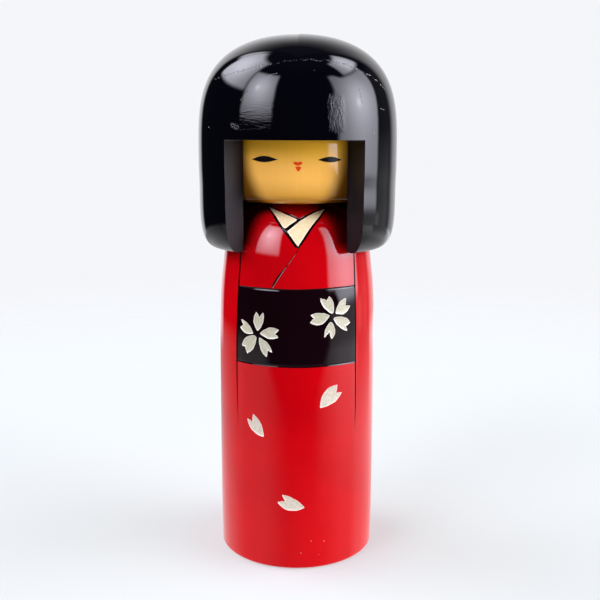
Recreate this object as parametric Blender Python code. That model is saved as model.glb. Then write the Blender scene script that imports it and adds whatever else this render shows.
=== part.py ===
"""Kokeshi doll with a bobbed hair cap, built as a turner builds it.

Four turned pieces on one vertical axis:
    body_trunk   solid turned trunk with sloping shoulders and a dowel socket in its top
    neck_dowel   hardwood dowel, glued in the trunk, a turning fit in the head
    face_core    turned plug that carries the face, with the dowel's bore in its underside
    hair_cap     hollow turned cap, with the window for the face sawn out along two radial cuts

Metres, +Z up.  The origin is the middle of the base.  The doll looks along -Y.
"""

import math

import bmesh
import bpy
from mathutils import Matrix

MM = 0.001

# ---------------------------------------------------------------- driving dimensions (mm)
TOTAL_H = 240.0            # base to crown

# trunk
TRUNK_R_BASE = 36.5        # radius just above the foot
FOOT_ROUND = 1.4           # rounding of the foot's edge
SEAT_Z = 166.2             # flat seat on top of the shoulders, under the head
SEAT_R = 10.2
# radius of the trunk at heights above the base, from the shoulders' rim down
TRUNK_SIDE = [(145.4, 33.62), (139.6, 34.35), (130.5, 35.35), (119.2, 36.05), (105.5, 36.38),
              (87.4, 36.52), (64.7, 36.60), (42.0, 36.68), (19.3, 36.66), (6.0, 36.55)]
# the shoulders, from the seat outwards
SHOULDER = [(165.6, 13.0), (164.6, 17.0), (163.2, 21.2), (161.2, 25.5), (158.5, 28.4), (155.6, 30.25), (152.6, 31.6), (149.4, 32.66)]

# neck dowel and its two holes
DOWEL_R = 6.0
DOWEL_Z0, DOWEL_Z1 = 141.0, 186.0
DOWEL_CHAMFER = 1.0
SOCKET_R = 6.12            # glue line of 0.12 mm in the trunk
SOCKET_DEPTH = 25.6        # below the seat
BORE_R = 6.15              # turning fit in the head
BORE_DEPTH = 20.2          # above the face core's underside

# head
HAIR_R = 45.4              # widest radius of the hair
HAIR_EQ_Z = 182.7          # height where the crown's curve starts
CROWN_P, CROWN_Q = 3.675, 2.2155      # superellipse exponents of the crown
HAIR_SIDE_R = 45.15        # radius where the hem starts to turn in
HEM_Z = 171.6              # height where the hem starts to turn in
HAIR_Z0 = 145.4            # the hair's lower rim
HEM_R = 37.2               # outer radius of the rim's flat
HEM_P, HEM_Q = 3.7, 2.5    # superellipse exponents of the hem
HOLLOW_R = 34.6            # radius of the hollow
HOLLOW_Z = 212.0           # ceiling of the hollow
FRINGE_Z = 194.1           # lower edge of the fringe = top of the window
WINDOW_HALF_DEG = 40.9     # each radial saw cut, from the window's middle
WINDOW_TURN_DEG = -2.0     # the window's middle sits 2 degrees to the doll's right of its face
FACE_R = 34.3
FACE_Z0 = 166.55           # underside of the face core, 0.35 mm above the trunk's seat
FACE_ROUND_R, FACE_ROUND_Z = 7.5, 4.6  # rounding of the face core's lower edge, inwards and upwards
GLUE = 0.3                 # gap between the face core and the hollow's ceiling

SEGMENTS = 72              # facets round the turned pieces
FINE_SEGMENTS = 48         # facets round the dowel and its holes


# ---------------------------------------------------------------- helpers
def clear_scene():
    for obj in list(bpy.data.objects):
        bpy.data.objects.remove(obj, do_unlink=True)


def material(name, rgb, roughness, metallic=0.0, coat=0.0):
    mat = bpy.data.materials.new(name)
    mat.use_nodes = True
    bsdf = mat.node_tree.nodes["Principled BSDF"]
    bsdf.inputs["Base Color"].default_value = (*rgb, 1.0)
    bsdf.inputs["Roughness"].default_value = roughness
    bsdf.inputs["Metallic"].default_value = metallic
    bsdf.inputs["Coat Weight"].default_value = coat
    bsdf.inputs["Coat Roughness"].default_value = 0.06
    mat.diffuse_color = (*rgb, 1.0)
    return mat


def link(obj):
    bpy.context.scene.collection.objects.link(obj)
    return obj


def turned(name, profile, segments, mat, origin_z=0.0, hidden=False):
    """A piece turned on the lathe: profile is (radius, height) in mm from one end of the axis
    round the outside to the other end, spun once round Z and closed."""
    bm = bmesh.new()
    verts = [bm.verts.new((r * MM, 0.0, (z - origin_z) * MM)) for r, z in profile]
    edges = [bm.edges.new((a, b)) for a, b in zip(verts, verts[1:])]
    bmesh.ops.spin(bm, geom=verts + edges, cent=(0, 0, 0), axis=(0, 0, 1),
                   angle=2 * math.pi, steps=segments, use_merge=True, use_duplicate=False)
    bmesh.ops.remove_doubles(bm, verts=bm.verts, dist=1e-6)
    bmesh.ops.dissolve_degenerate(bm, edges=bm.edges, dist=1e-7)
    bmesh.ops.recalc_face_normals(bm, faces=bm.faces)
    mesh = bpy.data.meshes.new(name)
    bm.to_mesh(mesh)
    bm.free()
    mesh.shade_smooth()
    mesh.set_sharp_from_angle(angle=math.radians(35))
    obj = link(bpy.data.objects.new(name, mesh))
    obj.location = (0, 0, origin_z * MM)
    if mat is not None:
        mesh.materials.append(mat)
    if hidden:
        obj.hide_render = True
        obj.display_type = "WIRE"
    return obj


def put_under(child, parent):
    bpy.context.view_layer.update()
    world = child.matrix_world.copy()
    child.parent = parent
    child.matrix_parent_inverse = parent.matrix_world.inverted()
    child.matrix_world = world


def superellipse(n, p, q):
    """(t, w) pairs from t=1, w=0 to t=0, w=1 on the curve w**q + t**p = 1, evenly spread in angle."""
    pairs = []
    for i in range(n + 1):
        t = math.cos(i / n * math.pi / 2)
        pairs.append((t, max(0.0, 1.0 - t ** p) ** (1.0 / q)))
    return pairs


def smooth_curve(points, per_span):
    """Catmull-Rom through (z, r) points, so that the turned side has no corners."""
    out = []
    n = len(points)
    for i in range(n - 1):
        p0 = points[max(i - 1, 0)]
        p1, p2 = points[i], points[i + 1]
        p3 = points[min(i + 2, n - 1)]
        for k in range(per_span):
            t = k / per_span
            a = [2 * b for b in p1]
            b = [p2[j] - p0[j] for j in (0, 1)]
            c = [2 * p0[j] - 5 * p1[j] + 4 * p2[j] - p3[j] for j in (0, 1)]
            d = [-p0[j] + 3 * p1[j] - 3 * p2[j] + p3[j] for j in (0, 1)]
            out.append(tuple(0.5 * (a[j] + b[j] * t + c[j] * t * t + d[j] * t ** 3) for j in (0, 1)))
    out.append(points[-1])
    return out


# ---------------------------------------------------------------- trunk
def make_trunk(mat):
    profile = [(0.0, 0.0)]
    profile += [(18.0, 0.0)]
    for i in range(6):                                   # foot's rounded edge
        a = math.radians(90 * i / 5)
        profile.append((TRUNK_R_BASE - FOOT_ROUND * (1 - math.sin(a)), FOOT_ROUND * (1 - math.cos(a))))
    side = smooth_curve([(SEAT_Z, SEAT_R)] + SHOULDER + TRUNK_SIDE, 2)[::-1]   # foot to seat
    profile += [(r, z) for z, r in side]
    profile += [(SOCKET_R, SEAT_Z), (SOCKET_R, SEAT_Z - SOCKET_DEPTH), (0.0, SEAT_Z - SOCKET_DEPTH - 2.0)]
    return turned("body_trunk", profile, SEGMENTS, mat)


# ---------------------------------------------------------------- dowel
def make_dowel(mat):
    r, c = DOWEL_R, DOWEL_CHAMFER
    profile = [(0, DOWEL_Z0), (r - c, DOWEL_Z0), (r, DOWEL_Z0 + c), (r, SEAT_Z), (r, DOWEL_Z1 - c), (r - c, DOWEL_Z1), (0, DOWEL_Z1)]
    return turned("neck_dowel", profile, FINE_SEGMENTS, mat, origin_z=SEAT_Z)


# ---------------------------------------------------------------- face
def make_face(mat):
    profile = [(0.0, FACE_Z0 + BORE_DEPTH + 1.5), (BORE_R, FACE_Z0 + BORE_DEPTH), (BORE_R, FACE_Z0)]
    for i in range(8):                                   # rounded chin edge
        a = math.radians(90 * i / 7)
        profile.append((FACE_R - FACE_ROUND_R * (1 - math.sin(a)), FACE_Z0 + FACE_ROUND_Z * (1 - math.cos(a))))
    top = HOLLOW_Z - GLUE
    profile += [(FACE_R, 182.0), (FACE_R, top - 1.0), (FACE_R - 1.0, top), (0.0, top)]
    return turned("face_core", profile, SEGMENTS, mat, origin_z=SEAT_Z)


# ---------------------------------------------------------------- hair
def hair_outline():
    """Outer curve of the cap from the crown down to the rim."""
    out = []
    for t, w in superellipse(15, CROWN_P, CROWN_Q):
        out.append((HAIR_R * w, HAIR_EQ_Z + (TOTAL_H - HAIR_EQ_Z) * t))
    out.append((HAIR_R - 0.07, (HAIR_EQ_Z + HEM_Z) / 2))
    for t, w in superellipse(9, HEM_P, HEM_Q)[::-1]:
        out.append((HEM_R + (HAIR_SIDE_R - HEM_R) * w, HEM_Z - (HEM_Z - HAIR_Z0) * t))
    return out


def make_hair(mat):
    profile = hair_outline()
    rim = 0.6
    profile += [(HOLLOW_R + rim, HAIR_Z0), (HOLLOW_R, HAIR_Z0 + rim), (HOLLOW_R, FRINGE_Z), (HOLLOW_R, HOLLOW_Z), (0.0, HOLLOW_Z)]
    cap = turned("hair_cap", profile, SEGMENTS, mat, origin_z=SEAT_Z)

    # the saw cuts: a wedge between two radial planes, up to the fringe
    reach, low = 70.0, HAIR_Z0 - 12.0
    bm = bmesh.new()
    ring = [(0.0, 0.0)]
    for i in range(5):
        a = math.radians(WINDOW_TURN_DEG - WINDOW_HALF_DEG + i * WINDOW_HALF_DEG / 2)
        ring.append((reach * math.sin(a), -reach * math.cos(a)))
    face = bm.faces.new([bm.verts.new((x * MM, y * MM, (low - SEAT_Z) * MM)) for x, y in ring])
    up = bmesh.ops.extrude_face_region(bm, geom=[face])
    bmesh.ops.translate(bm, verts=[v for v in up["geom"] if isinstance(v, bmesh.types.BMVert)],
                        vec=(0, 0, (FRINGE_Z - low) * MM))
    bmesh.ops.recalc_face_normals(bm, faces=bm.faces)
    mesh = bpy.data.meshes.new("window_cutter")
    bm.to_mesh(mesh)
    bm.free()
    cutter = link(bpy.data.objects.new("window_cutter", mesh))
    cutter.location = (0, 0, SEAT_Z * MM)
    cutter.hide_render = True
    cutter.display_type = "WIRE"

    cut = cap.modifiers.new("window", "BOOLEAN")
    cut.operation = "DIFFERENCE"
    cut.solver = "EXACT"
    cut.object = cutter
    return cap, cutter


# ---------------------------------------------------------------- assembly
def main():
    clear_scene()
    red = material("red_lacquer", (0.56, 0.004, 0.010), 0.22, coat=1.0)
    black = material("black_lacquer", (0.006, 0.005, 0.008), 0.16, coat=1.0)
    skin = material("face_lacquer", (0.72, 0.42, 0.13), 0.30, coat=0.8)
    beech = material("bare_wood", (0.62, 0.43, 0.24), 0.65)

    trunk = make_trunk(red)
    dowel = make_dowel(beech)
    put_under(dowel, trunk)

    head = link(bpy.data.objects.new("head", None))      # turns about Z on the dowel
    head.empty_display_type = "ARROWS"
    head.empty_display_size = 0.03
    head.location = (0, 0, SEAT_Z * MM)
    put_under(head, trunk)
    face = make_face(skin)
    hair, cutter = make_hair(black)
    for piece in (face, hair, cutter):
        put_under(piece, head)


main()
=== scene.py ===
"""Looks for the kokeshi doll: fine turned surfaces with the carved and painted decoration in their geometry,
lacquer and wood materials, pale studio surroundings and the camera.  Lengths in the helpers are millimetres."""

import math

import bmesh
import bpy
import numpy as np
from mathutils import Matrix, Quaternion, Vector
from mathutils.geometry import delaunay_2d_cdt


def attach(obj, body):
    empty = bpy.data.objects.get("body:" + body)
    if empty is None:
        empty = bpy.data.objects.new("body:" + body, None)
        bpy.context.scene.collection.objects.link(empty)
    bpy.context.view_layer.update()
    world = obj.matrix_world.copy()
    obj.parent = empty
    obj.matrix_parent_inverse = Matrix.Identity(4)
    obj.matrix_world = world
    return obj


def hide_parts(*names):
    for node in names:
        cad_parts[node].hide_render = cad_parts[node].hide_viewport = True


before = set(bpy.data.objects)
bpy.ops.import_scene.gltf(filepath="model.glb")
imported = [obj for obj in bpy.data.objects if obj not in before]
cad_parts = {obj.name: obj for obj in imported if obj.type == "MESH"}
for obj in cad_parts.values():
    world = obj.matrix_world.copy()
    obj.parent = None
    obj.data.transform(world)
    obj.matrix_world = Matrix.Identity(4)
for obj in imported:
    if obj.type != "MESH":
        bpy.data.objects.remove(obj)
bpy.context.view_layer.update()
MM = 0.001

# ------------------------------------------------------------------ the turned shapes (as in the CAD model)
SEAT_Z, SEAT_R = 166.2, 10.2
SHOULDER = [(165.6, 13.0), (164.6, 17.0), (163.2, 21.2), (161.2, 25.5), (158.5, 28.4), (155.6, 30.25), (152.6, 31.6), (149.4, 32.66)]
TRUNK_SIDE = [(145.4, 33.62), (139.6, 34.35), (130.5, 35.35), (119.2, 36.05), (105.5, 36.38),
              (87.4, 36.52), (64.7, 36.60), (42.0, 36.68), (19.3, 36.66), (6.0, 36.55)]
SOCKET_R, SOCKET_DEPTH = 6.12, 25.6
FOOT_R, FOOT_ROUND = 36.5, 1.4

HAIR_R, HAIR_EQ_Z, CROWN_Z, CROWN_P, CROWN_Q = 45.4, 182.7, 240.0, 3.675, 2.2155
HAIR_SIDE_R, HEM_Z, HAIR_Z0, HEM_R, HEM_P, HEM_Q = 45.15, 171.6, 145.4, 37.2, 3.7, 2.5
HOLLOW_R, HOLLOW_Z, FRINGE_Z = 34.6, 212.0, 194.1
WINDOW_HALF, WINDOW_TURN = 40.9, -2.0

FACE_R, FACE_Z0, FACE_ROUND_R, FACE_ROUND_Z = 34.3, 166.55, 7.5, 4.6
BORE_R, BORE_DEPTH = 6.15, 20.2


# ------------------------------------------------------------------ small mesh helpers
def spline(points, n):
    """Natural cubic spline through 2-D points, n samples, evenly spread in length."""
    p = np.array(points, float)
    u = np.concatenate([[0], np.cumsum(np.hypot(*np.diff(p, axis=0).T))])
    m = len(u)
    h = np.diff(u)
    a = np.zeros((m, m))
    b = np.zeros((m, 2))
    a[0, 0] = a[-1, -1] = 1
    for i in range(1, m - 1):
        a[i, i - 1], a[i, i], a[i, i + 1] = h[i - 1], 2 * (h[i - 1] + h[i]), h[i]
        b[i] = 6 * ((p[i + 1] - p[i]) / h[i] - (p[i] - p[i - 1]) / h[i - 1])
    k = np.linalg.solve(a, b)
    s = np.linspace(0, u[-1], n)
    j = np.clip(np.searchsorted(u, s, side="right") - 1, 0, m - 2)
    hj = h[j][:, None]
    A = (u[j + 1] - s)[:, None]
    B = (s - u[j])[:, None]
    return (k[j] * A ** 3 + k[j + 1] * B ** 3) / (6 * hj) + (p[j] / hj - k[j] * hj / 6) * A + (p[j + 1] / hj - k[j + 1] * hj / 6) * B


def bezier_ring(knots, step=0.22):
    """Closed outline from knots (point, bulge, ...): each side leaves its knot for the next one as a bow of that height,
    to the right of the way it goes."""
    out = []
    n = len(knots)
    for i in range(n):
        p, bow, skew = np.array(knots[i][0], float), knots[i][1], (knots[i][2] if len(knots[i]) > 2 else 0.5)
        q = np.array(knots[(i + 1) % n][0], float)
        d = q - p
        length = np.hypot(*d)
        side = np.array([d[1], -d[0]]) / max(length, 1e-9)
        c1 = p + d * (skew * 0.62) + side * bow * 4 / 3
        c2 = p + d * (1 - (1 - skew) * 0.62) + side * bow * 4 / 3
        k = max(2, int(math.ceil((length + abs(bow)) / step)))
        for t in np.arange(k) / k:
            out.append((1 - t) ** 3 * p + 3 * (1 - t) ** 2 * t * c1 + 3 * (1 - t) * t * t * c2 + t ** 3 * q)
    return np.array(out)


def stroke(points, widths, step=0.5):
    """A carved stroke: outline polygon of a smooth centre line with its own width at each point, and the centre line."""
    pts = np.array(points, float)
    n = max(4, int(np.hypot(*np.diff(pts, axis=0).T).sum() / step))
    if len(pts) > 2:
        c = spline(pts, n)
    else:
        c = pts[0] + (pts[1] - pts[0]) * np.linspace(0, 1, n)[:, None]
    u = np.concatenate([[0], np.cumsum(np.hypot(*np.diff(c, axis=0).T))])
    u /= u[-1]
    up = np.concatenate([[0], np.cumsum(np.hypot(*np.diff(pts, axis=0).T))])
    w = np.interp(u, up / up[-1], widths)
    t = np.gradient(c, axis=0)
    t /= np.hypot(*t.T)[:, None]
    nrm = np.stack([-t[:, 1], t[:, 0]], 1)
    left, right = c + nrm * w[:, None] / 2, c - nrm * w[:, None] / 2
    return np.concatenate([left, right[::-1]]), c, w


def edge_distance(p, ring):
    """Distance from each point to a closed outline."""
    a, b = ring, np.roll(ring, -1, axis=0)
    best = np.full(len(p), 1e9)
    for i in range(0, len(a)):
        d = b[i] - a[i]
        t = np.clip(((p - a[i]) @ d) / max(d @ d, 1e-12), 0, 1)
        best = np.minimum(best, np.hypot(*(p - a[i] - t[:, None] * d).T))
    return best


def inside(p, ring):
    """Even-odd test of points against a closed outline."""
    x, y = p[:, 0], p[:, 1]
    hit = np.zeros(len(p), bool)
    a, b = ring, np.roll(ring, -1, axis=0)
    for (x0, y0), (x1, y1) in zip(a, b):
        if y0 == y1:
            continue
        c = (y0 > y) != (y1 > y)
        hit ^= c & (x < (x1 - x0) * (y - y0) / (y1 - y0) + x0)
    return hit


def principled(name, rgb, rough, coat=0.0, coat_rough=0.03, spec=0.5, **more):
    mat = bpy.data.materials.new(name)
    mat.use_nodes = True
    b = mat.node_tree.nodes["Principled BSDF"]
    b.inputs["Base Color"].default_value = (*rgb, 1)
    b.inputs["Roughness"].default_value = rough
    b.inputs["Specular IOR Level"].default_value = spec
    b.inputs["Coat Weight"].default_value = coat
    b.inputs["Coat Roughness"].default_value = coat_rough
    b.inputs["Coat IOR"].default_value = 1.5
    for k, v in more.items():
        b.inputs[k.replace("_", " ")].default_value = v
    mat.diffuse_color = (*rgb, 1)
    return mat, mat.node_tree, b


class Nodes:
    """Short-hand for building node trees."""

    def __init__(self, tree):
        self.t = tree
        self.n = tree.nodes
        self.l = tree.links

    def new(self, kind, **props):
        node = self.n.new(kind)
        for k, v in props.items():
            setattr(node, k, v)
        return node

    def put(self, socket, value):
        if isinstance(value, bpy.types.NodeSocket):
            self.l.new(value, socket)
        elif value is not None:
            socket.default_value = value

    def math(self, op, a, b=None, c=None, clamp=False):
        node = self.new("ShaderNodeMath", operation=op, use_clamp=clamp)
        for s, v in zip(node.inputs, (a, b, c)):
            self.put(s, v)
        return node.outputs[0]

    def step(self, x, lo, hi, out0=0.0, out1=1.0):
        """Smooth step of x from lo to hi."""
        node = self.new("ShaderNodeMapRange", interpolation_type="SMOOTHSTEP")
        self.put(node.inputs["Value"], x)
        node.inputs["From Min"].default_value = lo
        node.inputs["From Max"].default_value = hi
        node.inputs["To Min"].default_value = out0
        node.inputs["To Max"].default_value = out1
        return node.outputs["Result"]

    def band(self, x, a, b, c, d):
        """0 below a, 1 from b to c, 0 above d."""
        return self.math("MULTIPLY", self.step(x, a, b), self.step(x, c, d, 1.0, 0.0))

    def coords_mm(self, sx=1.0, sy=1.0, sz=1.0):
        """The piece's own coordinates in millimetres, stretched by sx, sy, sz."""
        tc = self.new("ShaderNodeTexCoord")
        mp = self.new("ShaderNodeMapping")
        mp.inputs["Scale"].default_value = (1000 * sx, 1000 * sy, 1000 * sz)
        self.l.new(tc.outputs["Object"], mp.inputs["Vector"])
        return mp.outputs["Vector"]

    def noise(self, vec, scale, detail=2.0, rough=0.5, dist=0.0, kind="3D"):
        node = self.new("ShaderNodeTexNoise", noise_dimensions=kind)
        self.put(node.inputs["Vector"], vec) if kind != "1D" else self.put(node.inputs["W"], vec)
        node.inputs["Scale"].default_value = scale
        node.inputs["Detail"].default_value = detail
        node.inputs["Roughness"].default_value = rough
        node.inputs["Distortion"].default_value = dist
        return node.outputs["Fac"]

    def mix(self, fac, a, b, blend="MIX"):
        node = self.new("ShaderNodeMix", data_type="RGBA", blend_type=blend)
        self.put(node.inputs[0], fac)
        self.put(node.inputs[6], (*a, 1) if isinstance(a, tuple) and len(a) == 3 else a)
        self.put(node.inputs[7], (*b, 1) if isinstance(b, tuple) and len(b) == 3 else b)
        return node.outputs[2]

    def bump(self, height, mm, normal=None, strength=1.0):
        """height (0..1) times mm of relief."""
        node = self.new("ShaderNodeBump")
        node.inputs["Strength"].default_value = strength
        node.inputs["Distance"].default_value = mm * MM
        self.put(node.inputs["Height"], height)
        if normal is not None:
            self.l.new(normal, node.inputs["Normal"])
        return node.outputs["Normal"]

    def attr(self, name):
        return self.new("ShaderNodeAttribute", attribute_name=name).outputs["Fac"]


def make_object(name, verts, faces, mat_ids, materials, normals=None, attrs=None):
    """verts in mm; normals are one per face corner, in face order."""
    me = bpy.data.meshes.new(name)
    me.from_pydata([tuple(v) for v in np.asarray(verts) * MM], [], faces)
    for m in materials:
        me.materials.append(m)
    me.polygons.foreach_set("material_index", np.asarray(mat_ids, np.int32))
    me.polygons.foreach_set("use_smooth", np.ones(len(faces), bool))
    for key, values in (attrs or {}).items():
        a = me.attributes.new(key, "FLOAT", "POINT")
        a.data.foreach_set("value", np.asarray(values, np.float32))
    me.update()
    if normals is not None:
        me.normals_split_custom_set([tuple(n) for n in normals])
    ob = bpy.data.objects.new(name, me)
    bpy.context.scene.collection.objects.link(ob)
    return ob


def corner_normals(verts, faces, angle=40.0, fixed=None):
    """Area-weighted normal at each face corner, over the faces round its vertex that turn less than angle from its own."""
    v = np.asarray(verts, float)
    fn = np.zeros((len(faces), 3))
    for i, f in enumerate(faces):
        p = v[list(f)]
        if len(f) == 3:
            fn[i] = np.cross(p[1] - p[0], p[2] - p[0])
        else:
            fn[i] = np.cross(p[2] - p[0], p[3] - p[1])
    length = np.linalg.norm(fn, axis=1)
    unit = fn / np.maximum(length, 1e-12)[:, None]
    around = [[] for _ in range(len(v))]
    for i, f in enumerate(faces):
        for k in f:
            around[k].append(i)
    cos = math.cos(math.radians(angle))
    out = []
    for i, f in enumerate(faces):
        for k in f:
            if fixed is not None and (i, k) in fixed:
                out.append(fixed[(i, k)])
                continue
            near = around[k]
            pick = [j for j in near if unit[j] @ unit[i] > cos]
            n = fn[pick].sum(0)
            out.append(n / max(np.linalg.norm(n), 1e-12))
    return out


# ------------------------------------------------------------------ turned piece with a carved and painted front
def carved_turning(name, profile, ka, kb, half_deg, step_deg, features, materials, base_mat, rows_mat=None, ease=40.0):
    """profile: (r, z) rows from one end of the axis to the other, outside on the right of the way it goes up.
    Rows ka..kb carry the decoration within half_deg of the front.  A feature is a dict:
       ring     closed outline, (arc from the front line, length up the profile) in mm
       mat      index into materials
       depth, fall   how deep it is cut, and over what distance from its outline
       extra    more points to place inside it."""
    prof = np.array(profile, float)
    n_cols = int(round(360 / step_deg))
    ang = -180 + step_deg * np.arange(n_cols)
    seg = np.concatenate([[0], np.cumsum(np.hypot(*np.diff(prof[ka:kb + 1], axis=0).T))])
    tt = seg                                         # length up the carved zone at its rows
    R = lambda t: np.interp(t, tt, prof[ka:kb + 1, 0])
    Z = lambda t: np.interp(t, tt, prof[ka:kb + 1, 1])
    tan = np.gradient(prof[ka:kb + 1], tt, axis=0)
    tan /= np.hypot(*tan.T)[:, None]
    NR = lambda t: np.interp(t, tt, tan[:, 1])
    NZ = lambda t: np.interp(t, tt, -tan[:, 0])

    cols = [i for i in range(n_cols) if abs(ang[i]) <= half_deg + 1e-6]
    first, last = cols[0], cols[-1]
    verts, index = [], {}

    def vid(r, a_deg, z):
        if r < 1e-9:
            key = (0, 0, round(z, 4))
        else:
            key = (round(r * math.sin(math.radians(a_deg)), 4), round(-r * math.cos(math.radians(a_deg)), 4), round(z, 4))
        if key not in index:
            index[key] = len(verts)
            verts.append(key)
        return index[key]

    faces, mats, groups = [], [], []
    rows_mat = rows_mat or {}
    for k in range(len(prof) - 1):
        (r0, z0), (r1, z1) = prof[k], prof[k + 1]
        for c in range(n_cols):
            if ka <= k < kb and first <= c < last:
                continue
            a0, a1 = ang[c], ang[c] + step_deg
            if a1 >= 180:
                a1 = -180.0
            f = [vid(r0, a0, z0), vid(r0, a1, z0), vid(r1, a1, z1), vid(r1, a0, z1)]
            f = [v for i, v in enumerate(f) if v != f[i - 1]]
            if len(f) >= 3:
                faces.append(f)
                mats.append(rows_mat.get(k, base_mat))
                groups.append(-1 if not (ka <= k < kb) else 0)

    # the flat layout of the carved zone: x = arc at that height, y = length up the profile
    pts, edges = [], []

    def add_line(p, closed):
        s = len(pts)
        pts.extend([tuple(q) for q in p])
        m = len(p)
        edges.extend([(s + i, s + i + 1) for i in range(m - 1)])
        if closed:
            edges.append((s + m - 1, s))

    rad = math.radians
    border = []
    for j in range(len(tt)):
        border.append((rad(ang[first]) * R(tt[j]), tt[j]))
    for c in cols[1:]:
        border.append((rad(ang[c]) * R(tt[-1]), tt[-1]))
    for j in range(len(tt) - 2, -1, -1):
        border.append((rad(ang[last]) * R(tt[j]), tt[j]))
    for c in cols[-2:0:-1]:
        border.append((rad(ang[c]) * R(tt[0]), tt[0]))
    add_line(border, True)
    n_border = len(pts)
    for f in features:
        add_line(f["ring"], True)
    fpts = np.array(pts[n_border:]) if len(pts) > n_border else np.zeros((0, 2))
    extra = [np.array(f["extra"]) for f in features if len(f.get("extra", [])) > 0]
    extra = np.concatenate(extra) if extra else np.zeros((0, 2))
    # spare grid points, away from the outlines
    grid = np.array([(rad(ang[c]) * R(tt[j]), tt[j]) for j in range(1, len(tt) - 1) for c in cols[1:-1]])
    near = np.concatenate([fpts, extra]) if len(extra) else fpts
    if len(near):
        cell = {}
        for q in near:
            cell.setdefault((int(q[0] // 1), int(q[1] // 1)), []).append(q)
        keep = []
        for g in grid:
            i, j = int(g[0] // 1), int(g[1] // 1)
            ok = True
            for di in (-1, 0, 1):
                for dj in (-1, 0, 1):
                    for q in cell.get((i + di, j + dj), ()):
                        if (q[0] - g[0]) ** 2 + (q[1] - g[1]) ** 2 < 0.16:
                            ok = False
                            break
                    if not ok:
                        break
                if not ok:
                    break
            if ok:
                keep.append(g)
        grid = np.array(keep)
    pts.extend([tuple(g) for g in grid])
    pts.extend([tuple(g) for g in extra])
    res = delaunay_2d_cdt([Vector(p) for p in pts], edges, [], 1, 1e-5)
    cv = np.array([tuple(p) for p in res[0]])
    tris = [tuple(t) for t in res[2]]

    # depth of the cut, and distance from the nearest paint edge, at each point
    depth = np.zeros(len(cv))
    rim = np.full(len(cv), 9.0)
    for f in features:
        ring = f["ring"]
        lo, hi = ring.min(0) - 0.01, ring.max(0) + 0.01
        box = np.where((cv >= lo).all(1) & (cv <= hi).all(1))[0]
        if not len(box):
            continue
        d = edge_distance(cv[box], ring)
        ins = inside(cv[box], ring) & (d > 1e-4)
        rim[box] = np.where(ins | (d < 1e-3), np.minimum(rim[box], d), rim[box])
        if f.get("depth"):
            x = np.clip(d / f["fall"], 0, 1)
            prof_d = f["depth"] * np.sin(x * math.pi / 2) if not f.get("scoop") else f["depth"] * np.sqrt(np.clip(1 - (1 - x) ** 2, 0, 1))
            sel = box[ins]
            depth[sel] = np.where(np.abs(prof_d[ins]) > np.abs(depth[sel]), prof_d[ins], depth[sel])

    s, t = cv[:, 0], cv[:, 1]
    r, z, nr, nz = R(t), Z(t), NR(t), NZ(t)
    a = np.degrees(s / r)
    rr, zz = r - depth * nr, z - depth * nz
    # patch vertices on the border reuse the grid's own vertices
    local = []
    for i in range(len(cv)):
        local.append(vid(rr[i], a[i], zz[i]))
    cen = cv[np.array(tris)].mean(1)
    fm = np.full(len(tris), base_mat)
    fg = np.zeros(len(tris), int)
    for fi, f in enumerate(features):
        ring = f["ring"]
        lo, hi = ring.min(0), ring.max(0)
        box = np.where((cen >= lo).all(1) & (cen <= hi).all(1))[0]
        if not len(box):
            continue
        ins = box[inside(cen[box], ring)]
        fm[ins] = f["mat"]
        if f.get("depth"):
            fg[ins] = fi + 1
    attr_rim = {}
    area2 = np.array([(cv[b][0] - cv[a_][0]) * (cv[c][1] - cv[a_][1]) - (cv[b][1] - cv[a_][1]) * (cv[c][0] - cv[a_][0]) for a_, b, c in tris])
    for ti, tri in enumerate(tris):
        f = [local[k] for k in tri]
        if area2[ti] < 0:
            f = f[::-1]
        if len(set(f)) < 3:
            continue
        faces.append(f)
        mats.append(int(fm[ti]))
        groups.append(int(fg[ti]))
    for i, k in enumerate(local):
        attr_rim[k] = min(attr_rim.get(k, 9.0), rim[i])

    V = np.array(verts, float)
    G = np.array(groups)
    # normals: exact on the turned surface, averaged inside each cut
    prof_t = np.concatenate([[0], np.cumsum(np.hypot(*np.diff(prof, axis=0).T))])
    Rv = np.hypot(V[:, 0], V[:, 1])
    # normal of the turned surface as a function of height, inside the carved zone
    zrow = prof[ka:kb + 1, 1]
    order = np.argsort(zrow)
    fixed = {}
    cuts = {}
    for i, f in enumerate(faces):
        g = G[i]
        if g == 0:
            for k in f:
                zc = min(max(V[k, 2], zrow.min()), zrow.max())
                nrk = np.interp(zc, zrow[order], tan[:, 1][order])
                nzk = np.interp(zc, zrow[order], -tan[:, 0][order])
                if Rv[k] > 1e-6:
                    n = np.array([V[k, 0] / Rv[k] * nrk, V[k, 1] / Rv[k] * nrk, nzk])
                    fixed[(i, k)] = n / np.linalg.norm(n)
    normals = corner_normals(V, faces, ease, fixed)
    rim_all = np.array([attr_rim.get(i, 9.0) for i in range(len(V))])
    return make_object(name, V, faces, mats, materials, normals, {"rim": rim_all})


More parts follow.
